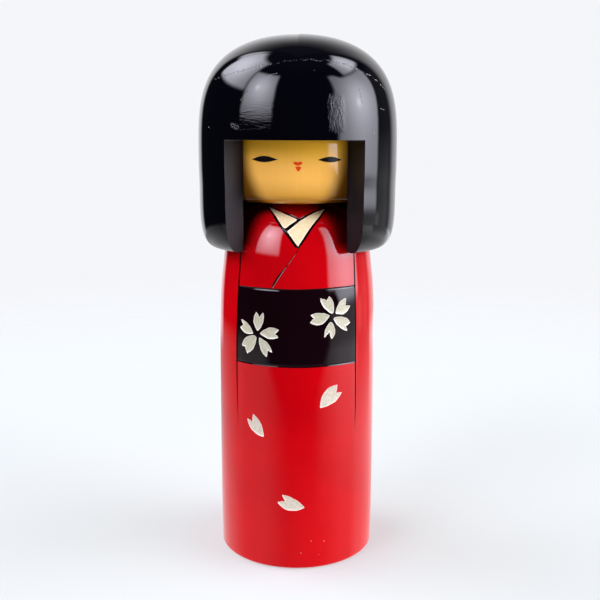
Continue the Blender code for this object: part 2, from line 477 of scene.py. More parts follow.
# ------------------------------------------------------------------ materials
def lacquer(name, rgb, rough=0.45, coat_rough=0.035, wave_mm=0.006, pore_mm=0.0015, tint=0.06, under=0.0, coat=1.0, shoulder_painted_shade=False):
    """Sprayed lacquer over turned wood: a clear coat with slow waves left by the lathe, and a little dust under it."""
    mat, tree, b = principled(name, rgb, rough, coat=coat, coat_rough=coat_rough, spec=under)
    g = Nodes(tree)
    v = g.coords_mm()
    rings = g.noise(g.coords_mm(0.02, 0.02, 1.0), 0.22, 3.0, 0.55)
    slow = g.noise(v, 0.055, 2.0, 0.5)
    fine = g.noise(v, 1.4, 3.0, 0.6)
    n1 = g.bump(rings, wave_mm)
    n2 = g.bump(slow, wave_mm * 4.0, n1)
    n3 = g.bump(fine, pore_mm, n2)
    tree.links.new(n3, b.inputs["Coat Normal"])
    tree.links.new(n3, b.inputs["Normal"])
    if tint:
        shade = g.step(g.noise(v, 0.035, 3.0, 0.6), 0.3, 0.7, 1.0 - tint, 1.0 + tint)
        if shoulder_painted_shade:
            # painted shade: the red is darkened high on the chest beside the hair, where the hair's walls keep the
            # light off
            sep = g.new("ShaderNodeSeparateXYZ")
            tree.links.new(v, sep.inputs[0])
            x, y, z = sep.outputs
            side = g.math("MULTIPLY", g.math("ARCTAN2", x, g.math("MULTIPLY", y, -1.0)), 180 / math.pi)
            off = g.math("ABSOLUTE", g.math("ADD", side, 4.0))
            dark = g.math("MULTIPLY", g.math("MULTIPLY", g.step(off, 24.0, 44.0), g.step(off, 54.0, 66.0, 1.0, 0.0)), g.step(z, 145.0, 150.5))
            shade = g.math("MULTIPLY", shade, g.math("SUBTRACT", 1.0, g.math("MULTIPLY", dark, 0.88)))
        scaled = g.new("ShaderNodeVectorMath", operation="SCALE")
        scaled.inputs[0].default_value = rgb
        tree.links.new(shade, scaled.inputs["Scale"])
        tree.links.new(scaled.outputs[0], b.inputs["Base Color"])
    return mat


RED = (0.462, 0.0005, 0.0034)
red = lacquer("red_lacquer_fine", RED, shoulder_painted_shade=True)
sash_black = lacquer("sash_black_lacquer", (0.0044, 0.0008, 0.0020), wave_mm=0.006, tint=0.15)
line_black = lacquer("carved_line_paint", (0.0022, 0.0010, 0.0010), rough=0.4, coat_rough=0.05, wave_mm=0.003, pore_mm=0.003, tint=0.2, coat=0.8)
# painted shade: a darker red for the shade inside an unpainted scribed cut
groove_shade_red = lacquer("scribed_red", (0.16, 0.0004, 0.0012), rough=0.5, coat_rough=0.10, wave_mm=0.002, pore_mm=0.003, tint=0.1, coat=0.5)
hair_black = lacquer("hair_black_lacquer", (0.0008, 0.0008, 0.0022), coat_rough=0.05, wave_mm=0.008, pore_mm=0.0012, tint=0.0)


def hair_marks(mat):
    """Old wear in the black lacquer: a dotted ring rubbed round the crown, a few nicks, and two patches where it wrinkled as it dried."""
    tree = mat.node_tree
    b = tree.nodes["Principled BSDF"]
    g = Nodes(tree)
    v = g.coords_mm()
    sep = g.new("ShaderNodeSeparateXYZ")
    tree.links.new(v, sep.inputs[0])
    x, y, z = sep.outputs
    az = g.math("MULTIPLY", g.math("ARCTAN2", x, g.math("MULTIPLY", y, -1.0)), 180 / math.pi)
    mul = lambda p, q: g.math("MULTIPLY", p, q)
    add = lambda p, q: g.math("ADD", p, q)
    u = g.math("DIVIDE", az, 50.0)
    level = add(mul(add(mul(add(mul(u, -2.903), -5.868), u), 2.801), u), 226.39)
    stray = mul(g.math("SUBTRACT", g.noise(v, 0.25, 2.0), 0.5), 2.2)
    off = g.math("ABSOLUTE", add(g.math("SUBTRACT", z, level), stray))
    dots = g.step(g.noise(v, 0.85, 3.0, 0.7), 0.50, 0.60)
    ring = mul(mul(g.step(off, 0.10, 0.40, 1.0, 0.0), dots), g.band(az, -64, -58, 60, 66))
    ring = mul(ring, g.step(g.math("ABSOLUTE", g.math("SUBTRACT", az, 3.0)), 14, 32, 0.40, 1.0))

    def nick(a0, z0, a1, z1, half):
        """Closeness, 1 to 0, to a short straight scratch."""
        k = 0.78
        ax, dx, dz = a0 * k, (a1 - a0) * k, z1 - z0
        px, pz = g.math("SUBTRACT", mul(az, k), ax), g.math("SUBTRACT", z, z0)
        t = g.math("DIVIDE", add(mul(px, dx), mul(pz, dz)), dx * dx + dz * dz, clamp=True)
        ex, ez = g.math("SUBTRACT", px, mul(t, dx)), g.math("SUBTRACT", pz, mul(t, dz))
        d = g.math("SQRT", add(mul(ex, ex), mul(ez, ez)))
        return g.step(add(d, mul(g.math("SUBTRACT", g.noise(v, 1.5, 2.0), 0.5), 0.15)), half * 0.4, half, 1.0, 0.0)

    deep = nick(-32.1, 210.6, -28.6, 213.8, 0.32)
    pale = mul(mul(nick(-36.8, 200.2, -34.0, 199.4, 1.5), g.step(g.noise(v, 2.4, 3.0, 0.7), 0.50, 0.62)), 0.75)
    for q in ((52.5, 207.2, 56.5, 206.7, 0.13), (37.2, 215.2, 37.6, 209.5, 0.16), (-58.0, 199.3, -56.5, 199.0, 0.25), (9.5, 222.4, 10.5, 222.2, 0.10),
              (-21.0, 219.5, -12.0, 221.0, 0.14), (44.0, 198.5, 46.5, 196.5, 0.3)):
        pale = g.math("MAXIMUM", pale, nick(*q))
    pale = mul(pale, g.step(g.noise(v, 1.2, 2.0), 0.36, 0.52))
    worn = g.math("MAXIMUM", ring, pale)
    base = tuple(b.inputs["Base Color"].default_value)[:3]
    tree.links.new(g.mix(mul(worn, 0.8), base, (0.20, 0.19, 0.19)), b.inputs["Base Color"])
    wrinkle_r = mul(mul(g.noise(g.coords_mm(1.0, 1.0, 0.22), 1.5, 3.0, 0.6, 0.8), g.band(az, 14.5, 17.5, 24.0, 27.0)), g.band(z, 196, 200, 210, 214))
    wrinkle_l = mul(mul(g.noise(g.coords_mm(0.16, 0.16, 1.0), 0.9, 3.0, 0.6, 0.6), g.band(az, -37, -32, -15, -10)), g.band(z, 195, 198, 207, 213))
    was = b.inputs["Coat Normal"].links[0].from_socket
    n = g.bump(wrinkle_r, 0.17, was)
    n = g.bump(wrinkle_l, 0.055, n)
    n = g.bump(g.math("MULTIPLY", g.math("MAXIMUM", worn, deep), -1.0), 0.07, n)
    tree.links.new(n, b.inputs["Coat Normal"])
    tree.links.new(n, b.inputs["Normal"])


hair_marks(hair_black)


def petal_paint(name, middle, edge, mottled=1.0):
    """Thick hand-laid paint in a carved petal: paler along the rim, partly thicker paint and partly a painted highlight
    on the carved edge; streaked along the brush.
    """
    mat, tree, b = principled(name, middle, 0.42, coat=0.55, coat_rough=0.12)
    g = Nodes(tree)
    v = g.coords_mm()
    # painted highlight in part: the paler band along the paint's rim
    rim = g.step(g.math("ADD", g.attr("rim"), g.math("MULTIPLY", g.math("SUBTRACT", g.noise(v, 1.6, 2.0), 0.5), 0.25)), 0.12, 0.55, 1.0, 0.0)
    mottle = g.noise(v, 1.1, 4.0, 0.6)
    dark = (middle[0] * 0.80, middle[1] * 0.82, middle[2] * 0.70)
    body = g.mix(g.step(mottle, 0.38, 0.60, 1.0 - mottled, 1.0), dark, middle)
    tree.links.new(g.mix(rim, body, edge), b.inputs["Base Color"])
    n = g.bump(g.noise(v, 2.2, 3.0, 0.6), 0.05)
    tree.links.new(n, b.inputs["Normal"])
    return mat


petal_white = petal_paint("petal_white_paint", (0.52, 0.495, 0.385), (0.73, 0.69, 0.59))
petal_pink = petal_paint("petal_pale_paint", (0.62, 0.55, 0.47), (0.80, 0.62, 0.55))
collar_cream = petal_paint("collar_cream_paint", (0.86, 0.705, 0.435), (0.94, 0.84, 0.64), 0.5)


def speck_paint():
    mat, tree, b = principled("dust_speck", (0.80, 0.26, 0.20), 0.4, coat=0.6, coat_rough=0.1)
    return mat


speck = speck_paint()


def bare_wood(name, pale, dark, along="z", rough=0.6):
    mat, tree, b = principled(name, pale, rough)
    g = Nodes(tree)
    v = g.coords_mm(1.0, 1.0, 0.05)
    grain = g.noise(v, 0.9, 5.0, 0.6, 0.4)
    tree.links.new(g.mix(g.step(grain, 0.35, 0.68), dark, pale), b.inputs["Base Color"])
    tree.links.new(g.bump(grain, 0.05), b.inputs["Normal"])
    return mat


dowel_wood = bare_wood("dowel_bare_wood", (0.62, 0.43, 0.24), (0.42, 0.26, 0.13))


def sawn_face():
    """The sawn faces of the window: black stain soaked into open grain, hardly any gloss."""
    mat, tree, b = principled("sawn_black_stain", (0.007, 0.0045, 0.0055), 0.42, spec=0.34)
    g = Nodes(tree)
    v = g.coords_mm(1.0, 1.0, 0.06)
    grain = g.noise(v, 1.1, 5.0, 0.65, 0.3)
    fine = g.noise(g.coords_mm(1.0, 1.0, 0.10), 3.2, 3.0, 0.6)
    sep = g.new("ShaderNodeSeparateXYZ")
    tree.links.new(g.coords_mm(), sep.inputs[0])
    c = g.mix(g.step(grain, 0.3, 0.72), (0.0032, 0.0020, 0.0026), (0.0105, 0.0060, 0.0080))
    c = g.mix(g.step(sep.outputs[2], 193.35, 193.75), c, (0.055, 0.045, 0.047))      # a pale band along the top of the sawn face, just under the fringe
    tree.links.new(c, b.inputs["Base Color"])
    rough = g.step(grain, 0.3, 0.7, 0.36, 0.52)
    tree.links.new(rough, b.inputs["Roughness"])
    tree.links.new(g.bump(fine, 0.02, g.bump(grain, 0.06)), b.inputs["Normal"])
    return mat


sawn = sawn_face()


def face_lacquer():
    """Clear lacquer, aged to gold, over pale wood with a faint upright grain; painted shade darkens it along the
    window's edges and round the chin, and turns it browner under the fringe, where the hair and the fringe shade the
    face."""
    base = (0.86, 0.455, 0.088)
    mat, tree, b = principled("face_gold_lacquer", base, 0.40, coat=1.0, coat_rough=0.06, spec=0.07)
    g = Nodes(tree)
    v = g.coords_mm()
    grain = g.noise(g.coords_mm(1.0, 1.0, 0.045), 0.75, 4.0, 0.55, 0.2)
    slow = g.noise(v, 0.06, 2.0)
    c = g.mix(g.step(grain, 0.32, 0.72), (0.846, 0.436, 0.082), (0.864, 0.452, 0.090))
    c = g.mix(g.math("MULTIPLY", g.step(slow, 0.35, 0.7), 0.4), c, (0.85, 0.44, 0.082))
    sep = g.new("ShaderNodeSeparateXYZ")
    tree.links.new(v, sep.inputs[0])
    x, y, z = sep.outputs
    # painted shade: past the window's edges and round the chin the colour falls to deep amber, for the shade cast by
    # the hair walls and the chin's rounding
    turn = g.math("ABSOLUTE", g.math("SUBTRACT", g.math("MULTIPLY", g.math("ARCTAN2", x, g.math("MULTIPLY", y, -1.0)), 180 / math.pi), WINDOW_TURN))
    chin = g.math("DIVIDE", g.math("MAXIMUM", g.math("SUBTRACT", 191.0, z), 0.0), 24.5)
    past = g.math("ADD", g.math("SUBTRACT", turn, 41.0), g.math("MULTIPLY", g.math("POWER", chin, 1.5), 17.5))
    c = g.mix(g.step(past, -9.0, 7.0), c, g.mix(1.0, c, (0.20, 0.15, 0.06), "MULTIPLY"))
    # painted shade: less blue under the fringe, where the fringe shadows the face, and darker low on the chin
    under = g.math("MULTIPLY", g.step(z, 181.0, 193.5, 1.0, 0.30), g.step(z, 166.0, 175.0, 0.22, 1.0))
    chin_painted_shade = g.step(z, 167.5, 179.0, 0.66, 1.0)
    painted_shade_rgb = g.new("ShaderNodeCombineColor")
    for i, q in enumerate((chin_painted_shade, g.math("MULTIPLY", chin_painted_shade, g.step(z, 167.0, 174.0, 0.86, 1.0)), g.math("MULTIPLY", chin_painted_shade, under))):
        g.put(painted_shade_rgb.inputs[i], q)
    tree.links.new(g.mix(1.0, c, painted_shade_rgb.outputs[0], "MULTIPLY"), b.inputs["Base Color"])
    n = g.bump(g.noise(v, 0.12, 2.0), 0.02, g.bump(grain, 0.003))
    tree.links.new(n, b.inputs["Coat Normal"])
    tree.links.new(n, b.inputs["Normal"])
    return mat


face_gold = face_lacquer()
eye_black, _, _ = principled("eye_black_paint", (0.002, 0.0016, 0.0020), 0.45, coat=0.20, coat_rough=0.08, spec=0.05)
lip_red, _, _ = principled("lip_red_paint", (0.70, 0.044, 0.002), 0.45, coat=0.3, coat_rough=0.1, spec=0.15)


# ------------------------------------------------------------------ trunk: rows
def trunk_rows():
    rows = [(0.0, 0.0), (6.0, 0.0), (14.0, 0.0), (22.0, 0.0), (29.0, 0.0), (33.2, 0.0)]
    for i in range(1, 8):
        a = math.radians(90 * i / 7)
        rows.append((FOOT_R - FOOT_ROUND * (1 - math.sin(a)), FOOT_ROUND * (1 - math.cos(a))))
    side = spline(([(z, r) for z, r in [(SEAT_Z, SEAT_R)] + SHOULDER + TRUNK_SIDE])[::-1], 150)
    rows.append((FOOT_R + 0.02, 3.0))
    ka = len(rows)
    rows += [(r, z) for z, r in side]
    kb = len(rows) - 1
    for z in (SEAT_Z,):
        for r in (SEAT_R - 0.6, 8.4, SOCKET_R + 0.4):
            rows.append((r, z))
    rows += [(SOCKET_R, SEAT_Z - 0.4), (SOCKET_R, SEAT_Z - 8), (SOCKET_R, SEAT_Z - 16), (SOCKET_R, SEAT_Z - SOCKET_DEPTH + 0.5),
             (SOCKET_R - 0.5, SEAT_Z - SOCKET_DEPTH), (0.0, SEAT_Z - SOCKET_DEPTH)]
    return rows, ka, kb


rows, KA, KB = trunk_rows()
_side = np.array(rows[KA:KB + 1])
_t = np.concatenate([[0], np.cumsum(np.hypot(*np.diff(_side, axis=0).T))])


def up(z):
    """Length up the trunk's profile at a height."""
    return np.interp(z, _side[:, 1], _t)


def lay(points):
    """(arc, height) points to (arc, length up the profile)."""
    p = np.array(points, float)
    return np.stack([p[:, 0], up(p[:, 1])], 1)


# ------------------------------------------------------------------ trunk: decoration
features = []
M_RED, M_SASH, M_LINE, M_WHITE, M_PINK, M_CREAM, M_SPECK = range(7)
M_SCRIBED = 8


def carve(points, widths, depth, mat=M_LINE, step=0.5, slope=0.25):
    ring, c, w = stroke(lay(points), widths, step)
    inner = c[1:-1][w[1:-1] > 0.25]
    side = []
    n = np.gradient(c, axis=0)
    n /= np.hypot(*n.T)[:, None]
    for q in (-0.25, 0.25):
        m = w > 0.6
        side.append((c + np.stack([-n[:, 1], n[:, 0]], 1) * w[:, None] * q)[m])
    extra = np.concatenate([inner] + side)
    features.append({"ring": ring, "mat": mat, "depth": depth, "fall": max(w) * slope, "extra": extra})      # steep sides, flat floor


# sash
SLEEVE_L = [(-27.6, 152.0), (-28.0, 144.5), (-29.1, 129.0), (-30.1, 112.0), (-30.5, 95.5), (-30.45, 84.0), (-30.0, 66.0)]
SLEEVE_R = [(27.9, 152.0), (28.35, 144.2), (28.75, 129.0), (29.4, 112.4), (29.6, 95.8), (29.95, 77.4), (29.8, 62.5)]


def arc_of(line, z):
    l = np.array(line)[::-1]
    return float(np.interp(z, l[:, 1], l[:, 0]))


SASH_TOP = [(-29.1, 129.7), (-15.0, 129.95), (0.0, 129.85), (14.0, 130.1), (28.8, 130.0)]
SASH_LOW = [(-30.5, 95.9), (-15.0, 96.15), (0.0, 96.1), (15.0, 96.15), (29.6, 95.7)]
top, low = spline(lay(SASH_TOP), 100), spline(lay(SASH_LOW), 100)
right = lay([(arc_of(SLEEVE_R, z), z) for z in np.linspace(129.6, 96.2, 40)])
left = lay([(arc_of(SLEEVE_L, z), z) for z in np.linspace(96.2, 129.4, 40)])
sash = np.concatenate([top, right, low[::-1], left])
features.append({"ring": sash, "mat": M_SASH})
carve(SASH_TOP, [1.0, 1.2, 1.15, 1.2, 1.1], 0.20, M_SASH, slope=0.5)
carve(SASH_LOW, [1.0, 1.2, 1.2, 1.2, 1.0], 0.20, M_SASH, slope=0.5)
# sleeve lines, tapering out below the sash
carve(SLEEVE_L, [0.9, 0.95, 0.95, 0.9, 0.85, 0.7, 0.12], 0.30)
carve(SLEEVE_R, [0.9, 1.0, 0.95, 0.9, 0.85, 0.75, 0.12], 0.30)
# the kimono's overlap, cut deeper towards the sash
# painted shade: the upper part of the overlap is a bare cut in the red, drawn darker for the shade in its groove
carve([(0.9, 147.9), (-1.9, 143.9), (-4.75, 140.0)], [0.30, 0.50, 0.62], 0.18, M_SCRIBED)
carve([(-4.2, 140.8), (-6.0, 138.3), (-8.0, 135.6), (-10.9, 131.0)], [0.25, 0.70, 1.05, 0.95], 0.20, M_SASH, slope=0.5)

# collar: two cream lapels, crossed left over right, in black outlines
L_TOP = [(-13.16, 163.83), (-11.38, 163.49), (-9.75, 163.14), (-7.74, 162.58), (-5.39, 161.87), (-3.14, 161.09), (-0.68, 160.18)]
L_END = [(-0.37, 159.48), (-3.09, 157.77), (-4.49, 156.70)]
L_ROUND = [(-4.49, 156.70), (-5.19, 156.36), (-5.85, 156.54), (-6.62, 157.26)]
L_LOW = [(-6.62, 157.26), (-8.02, 159.12), (-9.49, 160.93), (-11.13, 162.43), (-13.16, 163.83)]
R_TOP = [(12.99, 163.42), (11.24, 163.14), (9.47, 162.77), (6.12, 161.70), (3.87, 160.68), (1.77, 159.60), (-1.35, 157.39), (-3.82, 155.52)]
R_ROUND = [(-3.82, 155.52), (-4.22, 155.18), (-4.15, 154.80)]
R_LOW = [(-4.15, 154.80), (-2.19, 152.15), (0.30, 148.92)]
R_SIDE = [(0.52, 148.92), (3.00, 152.67), (6.07, 156.90), (7.65, 158.64), (9.30, 160.30), (11.05, 161.98), (12.99, 163.42)]


def outline(*sides):
    out = []
    for side in sides:
        length = np.hypot(*np.diff(np.array(side), axis=0).T).sum()
        q = lay(side)
        n = max(3, int(length / 0.42))
        out.append((spline(q, n) if len(side) > 2 else q[0] + (q[1] - q[0]) * np.linspace(0, 1, n)[:, None])[:-1])
    return np.concatenate(out)


carve([(-15.5, 164.35), (-13.35, 163.35), (-9.95, 160.57), (-7.07, 156.92), (-5.49, 155.24), (-2.62, 151.66), (-0.05, 148.20)],
      [0.6, 1.0, 1.15, 1.2, 1.35, 1.25, 1.0], 0.30)
carve([(0.20, 148.05), (3.44, 152.25), (6.52, 156.57), (9.76, 159.97), (12.95, 162.72), (15.1, 163.87)], [1.0, 1.05, 1.05, 1.05, 0.95, 0.6], 0.30)
carve([(-15.5, 164.40), (-12.72, 164.05), (-9.30, 163.43), (-5.87, 162.47), (-2.71, 161.43), (-0.07, 160.38), (1.30, 159.80)],
      [0.6, 1.0, 1.1, 1.15, 1.15, 1.1, 1.0], 0.30)
carve([(15.01, 164.07), (11.68, 163.61), (9.02, 163.07), (5.81, 162.07), (3.43, 160.99), (1.24, 159.83), (-1.60, 157.98), (-4.00, 156.12), (-5.30, 155.35)],
      [0.6, 1.0, 1.15, 1.25, 1.3, 1.4, 1.9, 1.9, 1.2], 0.30)
features.append({"ring": outline(L_TOP, [(-0.68, 160.18), (-0.08, 159.80), (-0.37, 159.48)], L_END, L_ROUND, L_LOW), "mat": M_CREAM, "depth": 0.0})
features.append({"ring": outline(R_TOP, R_ROUND, R_LOW, [(0.30, 148.92), (0.42, 148.78), (0.52, 148.92)], R_SIDE), "mat": M_CREAM, "depth": 0.0})


def petal(base, lobe_a, notch, lobe_b, bow_a, bow_b, mat, depth=0.34, blunt=0.0):
    """A cherry petal: base, two lobe tips with the notch between them, and how far each side bows out.  Arc and height in mm."""
    B, A, N, C = (lay([p])[0] for p in (base, lobe_a, notch, lobe_b))
    bow_a, bow_b = (bow_a * 0.85, bow_b * 0.85) if mat == M_WHITE else (bow_a * 1.06, bow_b * 1.06)
    hand = B[0] * 3.1 + B[1] * 1.7                          # each cut wavers in its own way
    turn = (A[0] - B[0]) * (C[1] - B[1]) - (A[1] - B[1]) * (C[0] - B[0])
    s = 1.0 if turn < 0 else -1.0
    mid = (A + C) / 2
    axis = (mid - B) / np.hypot(*(mid - B))
    across = np.array([-axis[1], axis[0]]) * s            # towards lobe a
    # lobe tips are a little round
    tip = 0.22

    def round_tip(P, side):
        return [P - axis * tip * 0.9 + across * tip * side, P + across * 0.06 * side, P - axis * tip * 0.9 - across * tip * 0.9 * side]

    ring = []
    ba, bc = B + across * blunt / 2, B - across * blunt / 2

    def bow(p, q, h, outward, skew=0.56):
        d = q - p
        n = np.array([-d[1], d[0]]) / np.hypot(*d)
        if n @ outward < 0:
            n = -n
        k = max(6, int(np.hypot(*d) / 0.28))
        t = np.arange(k) / k
        # a bow that is fullest past the middle
        f = 4 * t * (1 - t) * (1 + 1.1 * (skew - 0.5) * (2 * t - 1) * 2)
        waver = 0.075 * np.sin(t * 9.0 + hand + p[0]) * np.sin(math.pi * t) + 0.05 * np.sin(t * 17.0 + 2.3 * hand) * np.sin(math.pi * t)
        return p + d * t[:, None] + n * (h * f + waver)[:, None]

    ra = round_tip(A, 1.0)
    rc = round_tip(C, -1.0)
    ring.append(bow(ba, ra[0], bow_a, across))
    ring.append(np.array([ra[0], ra[1]]))
    ring.append(bow(ra[2], N, 0.10, -across))
    ring.append(bow(N, rc[2], 0.10, across))
    ring.append(np.array([rc[2], rc[1]]))
    ring.append(bow(rc[0], bc, bow_b, -across, 0.44))
    if blunt:
        ring.append(bc[None])
    ring = np.concatenate(ring)
    keep = [0]
    for i in range(1, len(ring)):
        if np.hypot(*(ring[i] - ring[keep[-1]])) > 0.06:
            keep.append(i)
    ring = ring[keep]
    # points inside for the scooped cut
    lo, hi = ring.min(0), ring.max(0)
    gx, gy = np.meshgrid(np.arange(lo[0], hi[0], 0.42), np.arange(lo[1], hi[1], 0.42))
    gx = gx + (np.arange(gx.shape[0]) % 2)[:, None] * 0.21
    p = np.stack([gx.ravel(), gy.ravel()], 1)
    p = p[inside(p, ring)]
    d = edge_distance(p, ring)
    features.append({"ring": ring, "mat": mat, "depth": depth, "fall": 0.55, "extra": p[d > 0.2]})


# flower low on the wearer's right of the sash
petal((-18.10, 111.33), (-18.54, 119.56), (-17.00, 117.30), (-15.27, 119.61), 1.75, 1.35, M_WHITE, blunt=0.6)
petal((-16.78, 110.13), (-7.91, 112.32), (-9.81, 110.51), (-8.05, 109.19), 1.9, 1.45, M_WHITE, blunt=0.3)
petal((-17.15, 108.15), (-11.12, 102.10), (-13.10, 103.11), (-13.54, 99.85), 1.4, 1.4, M_WHITE, blunt=0.4)
petal((-19.10, 108.51), (-26.86, 103.28), (-25.05, 103.17), (-23.93, 100.28), 1.85, 1.5, M_WHITE, blunt=1.4)
petal((-20.43, 109.75), (-27.22, 115.17), (-25.96, 112.91), (-28.03, 111.68), 1.35, 1.35, M_WHITE, blunt=0.4)
# flower high on the other side
petal((16.21, 119.32), (10.42, 126.32), (13.41, 125.18), (14.30, 126.92), 1.25, 1.45, M_WHITE, blunt=0.8)
petal((17.81, 119.17), (23.27, 125.38), (22.95, 122.05), (25.67, 121.71), 1.7, 2.0, M_WHITE, blunt=0.4)
petal((16.88, 116.99), (25.88, 113.95), (23.21, 112.87), (24.17, 110.70), 1.7, 1.1, M_WHITE, blunt=0.8)
petal((15.45, 115.43), (12.49, 108.83), (14.72, 111.20), (15.87, 107.81), 0.9, 1.8, M_WHITE, blunt=0.9)
petal((14.65, 118.34), (6.02, 118.96), (7.58, 117.63), (5.77, 115.74), 1.15, 2.5, M_WHITE, blunt=0.5)
# three falling petals
petal((10.65, 76.92), (19.02, 86.57), (18.44, 83.00), (21.34, 82.83), 2.8, 1.5, M_PINK, blunt=0.15)
petal((-15.26, 62.83), (-20.75, 72.55), (-21.06, 68.82), (-23.93, 69.86), 1.4, 1.8, M_PINK, blunt=0.45)
petal((3.63, 30.16), (-6.51, 36.03), (-4.99, 33.29), (-8.60, 32.46), 1.15, 2.3, M_PINK, blunt=0.3)

# specks of dust caught under the lacquer
for sx, sz, sr in ((6.8, 13.7, 0.22), (13.0, 12.9, 0.26), (2.2, 8.0, 0.24), (-4.5, 4.5, 0.0), (10.4, 6.6, 0.15)):
    if sr:
        c = lay([(sx, sz)])[0]
        k = np.arange(8) * math.pi / 4
        features.append({"ring": c + sr * np.stack([np.cos(k), 0.8 * np.sin(k)], 1), "mat": M_SPECK})

trunk = carved_turning("trunk_lacquered", rows, KA, KB, 75.0, 1.5, features,
                       [red, sash_black, line_black, petal_white, petal_pink, collar_cream, speck, dowel_wood, groove_shade_red], M_RED,
                       rows_mat={k: 7 for k in range(KB + 4, len(rows) - 1)})
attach(trunk, "trunk")
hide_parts("body_trunk")


# ------------------------------------------------------------------ face
def face_rows():
    rows = [(0.0, FACE_Z0 + BORE_DEPTH + 1.5), (BORE_R, FACE_Z0 + BORE_DEPTH), (BORE_R, FACE_Z0 + 10), (BORE_R, FACE_Z0 + 0.5), (BORE_R + 0.5, FACE_Z0),
            (12.0, FACE_Z0), (20.0, FACE_Z0), (FACE_R - FACE_ROUND_R - 1.5, FACE_Z0)]
    for i in range(13):
        a = math.radians(90 * i / 12)
        rows.append((FACE_R - 0.36 - FACE_ROUND_R * (1 - math.sin(a)), FACE_Z0 + FACE_ROUND_Z * (1 - math.cos(a))))
    ka = len(rows) - 1
    for z in np.arange(172.4, 205.1, 1.1):               # sanded a little hollow-backed: fullest at mouth height
        rows.append((FACE_R - (0.0035 * (min(z, 196.0) - 181) ** 2 if z > 181 else 0.0040 * (181 - z) ** 2), z))
    kb = len(rows) - 1
    top = HOLLOW_Z - 0.3
    rows += [(FACE_R - 0.8, top - 1.0), (FACE_R - 1.8, top), (20.0, top), (0.0, top)]
    return rows, ka, kb


frows, FA, FB = face_rows()
z0f = frows[FA][1]
ffeat = []


def eye(cx, cz, half, upper, lower, tip_l, tip_r):
    """A narrow almond: tips at the ends, upper lid fuller than the lower."""
    n = 26
    t = np.linspace(0, 1, n)
    shape = lambda h, q: h * np.sin(math.pi * t) ** q
    x = cx + half * (2 * t - 1)
    base = tip_l + (tip_r - tip_l) * t
    upper_line = np.stack([x, base + shape(upper, 1.15) - z0f + cz], 1)
    lower_line = np.stack([x, base - shape(lower, 1.05) - z0f + cz], 1)
    return np.concatenate([upper_line[::-1], lower_line[1:-1]])


ffeat.append({"ring": eye(-14.6, 185.8, 6.35, 1.5, 1.15, 0.0, 0.10), "mat": 1})
ffeat.append({"ring": eye(14.5, 185.75, 5.85, 1.35, 1.05, 0.05, -0.05), "mat": 1})
# lips: two small lobes above, a drop below
ffeat.append({"ring": bezier_ring([((-1.75, 184.75 - z0f), -0.10), ((-0.55, 185.05 - z0f), -0.12), ((0.25, 184.7 - z0f), -0.1), ((1.2, 185.1 - z0f), -0.1), ((2.2, 184.7 - z0f), -0.1),
                                   ((1.9, 184.05 - z0f), -0.1), ((0.25, 183.35 - z0f), -0.12), ((-1.35, 184.05 - z0f), -0.1)], 0.2), "mat": 2})
ffeat.append({"ring": bezier_ring([((-0.75, 182.85 - z0f), -0.25), ((1.6, 182.85 - z0f), -0.22), ((0.95, 181.5 - z0f), -0.18), ((0.35, 180.95 - z0f), -0.1), ((-0.35, 181.9 - z0f), -0.12)], 0.2), "mat": 2})

face = carved_turning("face_painted", frows, FA, FB, 48.0, 1.5, ffeat, [face_gold, eye_black, lip_red, dowel_wood], 0,
                      rows_mat={k: 3 for k in range(0, 4)})
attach(face, "head")
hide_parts("face_core")


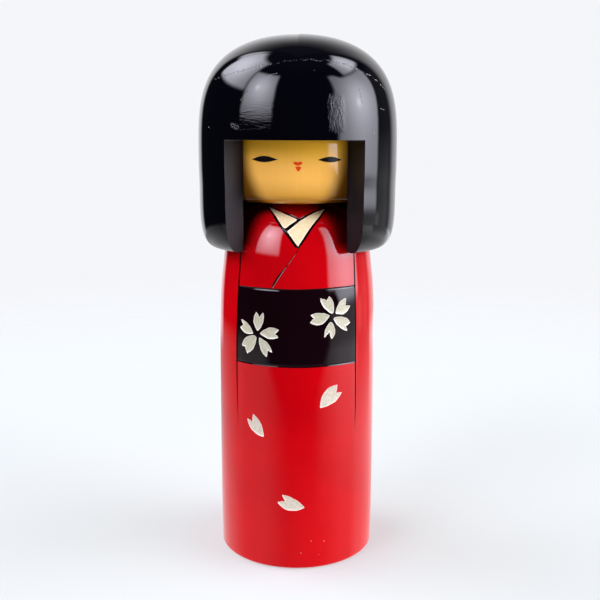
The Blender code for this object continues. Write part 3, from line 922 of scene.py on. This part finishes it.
# ------------------------------------------------------------------ hair
def hair_piece():
    """The cap as one closed mesh on a grid whose lines run along the window's edges."""
    M = 7                                               # faces across the wall
    outer = []                                          # crown to fringe
    a_f = math.acos((FRINGE_Z - HAIR_EQ_Z) / (CROWN_Z - HAIR_EQ_Z))
    crown = lambda t: HAIR_R * max(0.0, 1 - t ** CROWN_P) ** (1 / CROWN_Q)
    for i in range(81):
        t = math.cos(a_f * i / 80)
        outer.append((crown(t), HAIR_EQ_Z + (CROWN_Z - HAIR_EQ_Z) * t))
    k_f = len(outer) - 1
    for i in range(1, 8):
        t = math.cos(a_f + (math.pi / 2 - a_f) * i / 7)
        outer.append((crown(t), HAIR_EQ_Z + (CROWN_Z - HAIR_EQ_Z) * t))
    for i in range(1, 9):
        s = i / 8
        outer.append((HAIR_R - (HAIR_R - HAIR_SIDE_R) * s * s * (3 - 2 * s), HAIR_EQ_Z + (HEM_Z - HAIR_EQ_Z) * s))
    for i in range(1, 31):
        b = math.pi / 2 * i / 30
        t = math.sin(b)
        outer.append((HEM_R + (HAIR_SIDE_R - HEM_R) * max(0.0, 1 - t ** HEM_P) ** (1 / HEM_Q), HEM_Z - (HEM_Z - HAIR_Z0) * t))
    k_r = len(outer) - 1                                # rim's outer edge
    rim = []
    for m in range(1, M + 1):
        x = m / M
        rim.append((HEM_R + (HOLLOW_R - HEM_R) * x, HAIR_Z0 + 0.6 * x ** 3))
    inner = [(HOLLOW_R, HAIR_Z0 + 0.6 + (FRINGE_Z - HAIR_Z0 - 0.6) * (outer[k][1] - HAIR_Z0) / (FRINGE_Z - HAIR_Z0)) for k in range(k_r - 1, k_f - 1, -1)]
    ceiling = [(HOLLOW_R, 200.0), (HOLLOW_R, 206.0), (HOLLOW_R, HOLLOW_Z - 0.5), (HOLLOW_R - 0.5, HOLLOW_Z), (22.0, HOLLOW_Z), (10.0, HOLLOW_Z), (0.0, HOLLOW_Z)]
    loop = outer + rim + inner + ceiling
    i_f = len(outer) + len(rim) + len(inner) - 1        # the inner point at the fringe
    n_open, n_shut = 56, 190
    phi = [-WINDOW_HALF + 2 * WINDOW_HALF * i / n_open for i in range(n_open + 1)]
    phi += [WINDOW_HALF + (360 - 2 * WINDOW_HALF) * i / n_shut for i in range(1, n_shut)]
    n = len(phi)
    verts, index = [], {}

    def point(r, z, c):
        a = math.radians(phi[c % n] + WINDOW_TURN)
        return (r * math.sin(a), -r * math.cos(a), z)

    def vid(key, p):
        if key not in index:
            index[key] = len(verts)
            verts.append(p)
        return index[key]

    def gv(k, c):
        r, z = loop[k]
        c %= n
        return vid(("pole", k) if r < 1e-9 else ("g", k, c), point(r, z, c))

    faces, mats = [], []
    for k in range(len(loop) - 1):
        for c in range(n):
            in_window = c < n_open
            if in_window and k_f <= k < i_f:
                continue
            f = [gv(k + 1, c), gv(k + 1, c + 1), gv(k, c + 1), gv(k, c)]
            f = [v for i, v in enumerate(f) if v != f[i - 1]]
            if len(f) < 3:
                continue
            faces.append(f)
            mats.append(0 if k < len(outer) + len(rim) else 1)

    def cv(side, j, m):
        """Vertex j down, m across, of the sawn face on one side of the window."""
        c = 0 if side < 0 else n_open
        ko = k_f + j
        ki = i_f - j
        if m == 0:
            return gv(ko, c)
        if ko == k_r:
            return gv(k_r + m, c)
        if m == M:
            return gv(ki, c)
        if j == 0:
            return fv(c, m)
        (r0, z0), (r1, z1) = loop[ko], loop[ki]
        x = m / M
        return vid(("cut", side, j, m), point(r0 + (r1 - r0) * x, z0 + (z1 - z0) * x, c))

    def fv(c, m):
        if m == 0:
            return gv(k_f, c)
        if m == M:
            return gv(i_f, c)
        x = m / M
        r = loop[k_f][0] + (HOLLOW_R - loop[k_f][0]) * x
        return vid(("fringe", c, m), point(r, FRINGE_Z, c))

    rows_down = k_r - k_f
    for side in (-1, 1):
        for j in range(rows_down):
            for m in range(M):
                f = [cv(side, j, m), cv(side, j, m + 1), cv(side, j + 1, m + 1), cv(side, j + 1, m)]
                if side < 0:
                    f = f[::-1]
                faces.append(f)
                mats.append(1)
    for c in range(n_open):
        for m in range(M):
            faces.append([fv(c, m), fv(c, m + 1), fv(c + 1, m + 1), fv(c + 1, m)])
            mats.append(1)
    me = bpy.data.meshes.new("hair_raw")
    me.from_pydata(verts, [], faces)
    me.polygons.foreach_set("material_index", np.array(mats, np.int32))
    bm = bmesh.new()
    bm.from_mesh(me)
    bmesh.ops.recalc_face_normals(bm, faces=bm.faces)
    # ease the window's edges: cutting leaves a soft arris under the lacquer
    sharp_out, sharp_in = [], []
    for e in bm.edges:
        if len(e.link_faces) == 2:
            a, b = e.link_faces
            if a.material_index != b.material_index and a.normal.angle(b.normal) > math.radians(35):
                sharp_out.append(e)
            elif a.material_index == 1 == b.material_index and a.normal.angle(b.normal) > math.radians(60) and e.is_convex:
                rr = [math.hypot(v.co.x, v.co.y) for v in e.verts]
                if max(rr) < HOLLOW_R + 0.2:
                    sharp_in.append(e)
    bmesh.ops.bevel(bm, geom=sharp_out, offset=0.42, offset_type="OFFSET", segments=4, profile=0.5, affect="EDGES", clamp_overlap=True, material=0)
    bm.normal_update()
    bmesh.ops.recalc_face_normals(bm, faces=bm.faces)
    V = [tuple(v.co) for v in bm.verts]
    F = [[v.index for v in f.verts] for f in bm.faces]
    MI = [f.material_index for f in bm.faces]
    bm.free()
    bpy.data.meshes.remove(me)
    tri_f, tri_m = [], []
    for f, m in zip(F, MI):
        if len(f) > 4:
            for i in range(1, len(f) - 1):
                tri_f.append([f[0], f[i], f[i + 1]])
                tri_m.append(m)
        else:
            tri_f.append(f)
            tri_m.append(m)
    nrm = corner_normals(V, tri_f, 46.0)
    return make_object("hair_lacquered", V, tri_f, tri_m, [hair_black, sawn], nrm)


hair = hair_piece()
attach(hair, "head")
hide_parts("hair_cap")

# the dowel keeps its CAD shape
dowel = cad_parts["neck_dowel"]
dowel.data.materials.clear()
dowel.data.materials.append(dowel_wood)


# ------------------------------------------------------------------ surroundings
def surroundings():
    """A pale studio: bright table and backdrop behind, a dark room in front, two soft boxes on the left and two on the right."""
    world = bpy.data.worlds.new("studio")
    bpy.context.scene.world = world
    world.use_nodes = True
    tree = world.node_tree
    tree.nodes.clear()
    g = Nodes(tree)
    tc = g.new("ShaderNodeTexCoord")
    sep = g.new("ShaderNodeSeparateXYZ")
    tree.links.new(tc.outputs["Generated"], sep.inputs[0])
    x, y, z = sep.outputs
    az = g.math("MULTIPLY", g.math("ARCTAN2", x, g.math("MULTIPLY", y, -1.0)), 180 / math.pi)      # 0 towards -Y, + towards +X
    el = g.math("MULTIPLY", g.math("ARCSINE", z), 180 / math.pi)
    mul = lambda a, b: g.math("MULTIPLY", a, b)
    add = lambda a, b: g.math("ADD", a, b)

    def glow(a0, e0, sa, se, peak, base):
        """A lamp shining through cloth: a hot middle on an even base."""
        da = g.math("POWER", g.math("DIVIDE", g.math("SUBTRACT", az, a0), sa), 2.0)
        de = g.math("POWER", g.math("DIVIDE", g.math("SUBTRACT", el, e0), se), 2.0)
        return add(mul(g.math("EXPONENT", mul(add(da, de), -0.5)), peak), base)

    def box(a, e, lamp):
        return mul(mul(g.band(az, *a), g.band(el, *e)), lamp)

    left_low = box((-71, -66, -31, -26), (7, 13, 49, 54), glow(-49, 34, 12, 11.5, 6.6, g.step(el, 8, 26, 2.5, 3.1)))
    left_low = add(left_low, glow(-53, 33.4, 1.9, 1.9, 4.0, 0.0))
    left_high = box((-132, -127, -76, -66), (26, 31, 63, 69), glow(-104, 49, 17, 12, 5.4, 3.6))
    left_wing = box((-142, -137, -131, -127), (40, 47, 58, 68), 3.6)
    lean = g.step(el, -6, 40, 0.0, 8.0)                    # the right box's far edge leans outwards
    right_low = mul(mul(mul(g.step(az, 44, 51), g.step(g.math("SUBTRACT", az, lean), 100, 105, 1.0, 0.0)), g.band(g.math("SUBTRACT", el, g.step(az, 54, 68, 5.0, 0.0)), -8, -4.5, 41, 46)),
                    add(glow(77, 18, 15, 14, 6.8, 2.7), glow(76.8, 17.2, 2.2, 2.2, 4.0, 0.0)))
    right_high = box((71, 78, 120, 127), (43, 48, 62, 67), glow(103, 54, 12, 9, 5.0, 3.2))
    panels = add(add(add(left_low, left_high), left_wing), add(right_low, right_high))

    # backdrop
    far_l = mul(g.step(az, -148, -140, 1.0, 0.0), mul(g.step(el, 28, 63, 1.28, 0.12), g.step(el, 60, 65, 1.0, 0.2)))
    far_r = mul(g.step(az, 128, 143), mul(g.step(el, 26, 63, 1.0, 0.12), g.step(el, 60, 65, 1.0, 0.2)))
    back = mul(add(far_l, far_r), g.step(el, -13, -3, 0.85, 1.0))
    back = mul(back, g.step(el, -14.5, -11.5))
    stripe = mul(mul(g.band(az, 100, 108, 122, 136), g.step(el, -13, -11)), mul(g.step(el, -7, 3, 0.40, 0.06), g.step(el, 30, 42, 1.0, 0.0)))
    room = g.step(el, 50, 74, 0.008, 0.022)
    skirt = mul(mul(g.band(az, 44, 56, 104, 112), g.band(el, -12.5, -11, -8, -6)), 0.58)

    # the table: its near edge is straight, so it drops towards the middle; dim in front, pale at the sides
    edge = g.math("MAXIMUM", mul(g.math("ARCTANGENT", mul(g.math("COSINE", mul(az, math.pi / 180)), 0.3346)), 180 / math.pi), 11.8)
    depth = g.math("SUBTRACT", mul(el, -1.0), edge)         # degrees below the edge
    below = g.step(depth, -1.0, 1.6)
    lit_l = add(mul(g.step(az, -62, -10, 0.42, 0.0), 1.0), g.step(az, -150, -84, 0.42, 0.0))
    lit_r = g.math("MULTIPLY", g.step(az, 22, 74), g.step(depth, 0.0, 14.0, 1.15, 0.50))
    lit_r = mul(lit_r, g.step(az, 84, 116, 1.0, 0.85))
    lit_f = mul(g.step(depth, 0.0, 10.0, 0.03, 0.17), g.band(az, -70, -30, 20, 60))
    low = mul(g.step(el, -44, -22, 1.0, 0.35), g.step(g.math("ABSOLUTE", az), 84, 108))
    fade_l = mul(g.step(az, -100, -90, 1.0, 0.0), g.step(el, -24, -12, 0.22, 0.70))
    fade_r = mul(g.band(az, 96, 104, 134, 142), g.step(el, -21, -13, 0.0, 0.66))
    table = mul(below, add(add(lit_l, lit_r), add(lit_f, mul(low, 0.9))))
    table = mul(table, g.math("SUBTRACT", 1.0, add(fade_l, fade_r)))

    white = add(add(back, stripe), add(add(table, room), skirt))
    env = g.new("ShaderNodeBackground")
    tint = g.new("ShaderNodeCombineColor")
    tree.links.new(add(mul(panels, 0.985), white), tint.inputs[0])
    tree.links.new(add(mul(panels, 0.985), white), tint.inputs[1])
    tree.links.new(add(mul(panels, 1.13), mul(white, 1.03)), tint.inputs[2])
    tree.links.new(tint.outputs[0], env.inputs["Color"])
    plain = g.new("ShaderNodeBackground")
    plain.inputs["Color"].default_value = (0.912, 0.920, 0.955, 1)
    lp = g.new("ShaderNodeLightPath")
    mix = g.new("ShaderNodeMixShader")
    out = g.new("ShaderNodeOutputWorld")
    tree.links.new(lp.outputs["Is Camera Ray"], mix.inputs[0])
    tree.links.new(env.outputs[0], mix.inputs[1])
    tree.links.new(plain.outputs[0], mix.inputs[2])
    tree.links.new(mix.outputs[0], out.inputs["Surface"])
    world.cycles.sampling_method = "MANUAL"
    world.cycles.sample_map_resolution = 1024


def floor():
    bm = bmesh.new()
    bmesh.ops.create_circle(bm, cap_ends=True, segments=96, radius=2.2)
    me = bpy.data.meshes.new("table")
    bm.to_mesh(me)
    bm.free()
    ob = bpy.data.objects.new("table", me)
    bpy.context.scene.collection.objects.link(ob)
    ob.location = (0, 0, -0.0002)
    mat = bpy.data.materials.new("table_white")
    mat.use_nodes = True
    tree = mat.node_tree
    tree.nodes.clear()
    g = Nodes(tree)
    tc = g.new("ShaderNodeTexCoord")
    ln = g.new("ShaderNodeVectorMath", operation="LENGTH")
    tree.links.new(tc.outputs["Object"], ln.inputs[0])
    r = ln.outputs["Value"]
    d = g.new("ShaderNodeBsdfDiffuse")
    # painted shade and painted red light from the doll: the table's colour is a little darker and redder in a ring
    # round the foot
    tree.links.new(g.mix(g.step(r, 0.036, 0.066), (0.272, 0.262, 0.262), (0.275, 0.297, 0.283)), d.inputs["Color"])
    e = g.new("ShaderNodeEmission")
    e.inputs["Color"].default_value = (0.418, 0.418, 0.416, 1)
    both = g.new("ShaderNodeAddShader")
    tree.links.new(d.outputs[0], both.inputs[0])
    tree.links.new(e.outputs[0], both.inputs[1])
    tr = g.new("ShaderNodeBsdfTransparent")
    mix = g.new("ShaderNodeMixShader")
    tree.links.new(g.step(r, 0.30, 0.85), mix.inputs[0])
    tree.links.new(both.outputs[0], mix.inputs[1])
    tree.links.new(tr.outputs[0], mix.inputs[2])
    out = g.new("ShaderNodeOutputMaterial")
    tree.links.new(mix.outputs[0], out.inputs["Surface"])
    me.materials.append(mat)
    ob.visible_glossy = False
    ob.visible_diffuse = False
    ob.visible_shadow = False


def table_glow():
    """Light the pale table throws back up at the doll: brightest close round its foot.  Only lit surfaces see it."""
    bm = bmesh.new()
    bmesh.ops.create_circle(bm, cap_ends=True, segments=96, radius=0.30)
    me = bpy.data.meshes.new("table_glow")
    bm.to_mesh(me)
    bm.free()
    ob = bpy.data.objects.new("table_glow", me)
    bpy.context.scene.collection.objects.link(ob)
    ob.location = (0, 0, -0.0006)
    mat = bpy.data.materials.new("table_glow")
    mat.use_nodes = True
    tree = mat.node_tree
    tree.nodes.clear()
    g = Nodes(tree)
    tc = g.new("ShaderNodeTexCoord")
    ln = g.new("ShaderNodeVectorMath", operation="LENGTH")
    tree.links.new(tc.outputs["Object"], ln.inputs[0])
    e = g.new("ShaderNodeEmission")
    tree.links.new(g.step(ln.outputs["Value"], 0.10, 0.30, 0.95, 0.0), e.inputs["Strength"])
    out = g.new("ShaderNodeOutputMaterial")
    tree.links.new(e.outputs[0], out.inputs["Surface"])
    me.materials.append(mat)
    ob.visible_camera = False
    ob.visible_glossy = False
    ob.visible_shadow = False


def fill_card(name, a0, a1, h0, h1, strength):
    """A pale card that stands round the doll at 0.9 m.  Only lit surfaces see it, so the lacquer still mirrors a dark room."""
    bm = bmesh.new()
    rows_up = []
    for h in np.linspace(h0, h1, 7):
        rows_up.append([bm.verts.new((0.9 * math.sin(math.radians(a)), -0.9 * math.cos(math.radians(a)), h)) for a in np.linspace(a0, a1, 21)])
    for lo, hi in zip(rows_up, rows_up[1:]):
        for i in range(20):
            bm.faces.new((lo[i], lo[i + 1], hi[i + 1], hi[i]))
    me = bpy.data.meshes.new(name)
    bm.to_mesh(me)
    bm.free()
    ob = bpy.data.objects.new(name, me)
    bpy.context.scene.collection.objects.link(ob)
    mat = bpy.data.materials.new(name)
    mat.use_nodes = True
    tree = mat.node_tree
    tree.nodes.clear()
    g = Nodes(tree)
    e = g.new("ShaderNodeEmission")
    e.inputs["Strength"].default_value = strength
    out = g.new("ShaderNodeOutputMaterial")
    tree.links.new(e.outputs[0], out.inputs["Surface"])
    me.materials.append(mat)
    ob.visible_camera = False
    ob.visible_glossy = False
    ob.visible_shadow = False


surroundings()
floor()
table_glow()
fill_card("front_card", -38, 38, -0.02, 0.27, 1.6)
fill_card("right_card", 50, 80, 0.08, 0.42, 4.8)

cam_data = bpy.data.cameras.new("camera")
cam_data.sensor_width = 36.0
cam_data.lens = 54.0
cam_data.clip_start = 0.01
camera = bpy.data.objects.new("camera", cam_data)
bpy.context.scene.collection.objects.link(camera)
camera.rotation_mode = "QUATERNION"
camera.location = (0.00136, -0.41836, 0.20085)
camera.rotation_quaternion = Quaternion((1, 0, 0), math.radians(90 - 11.09)) @ Quaternion((0, 0, 1), 0.0034)
bpy.context.scene.camera = camera
bpy.context.scene.view_settings.view_transform = "Standard"
bpy.context.scene.view_settings.look = "None"
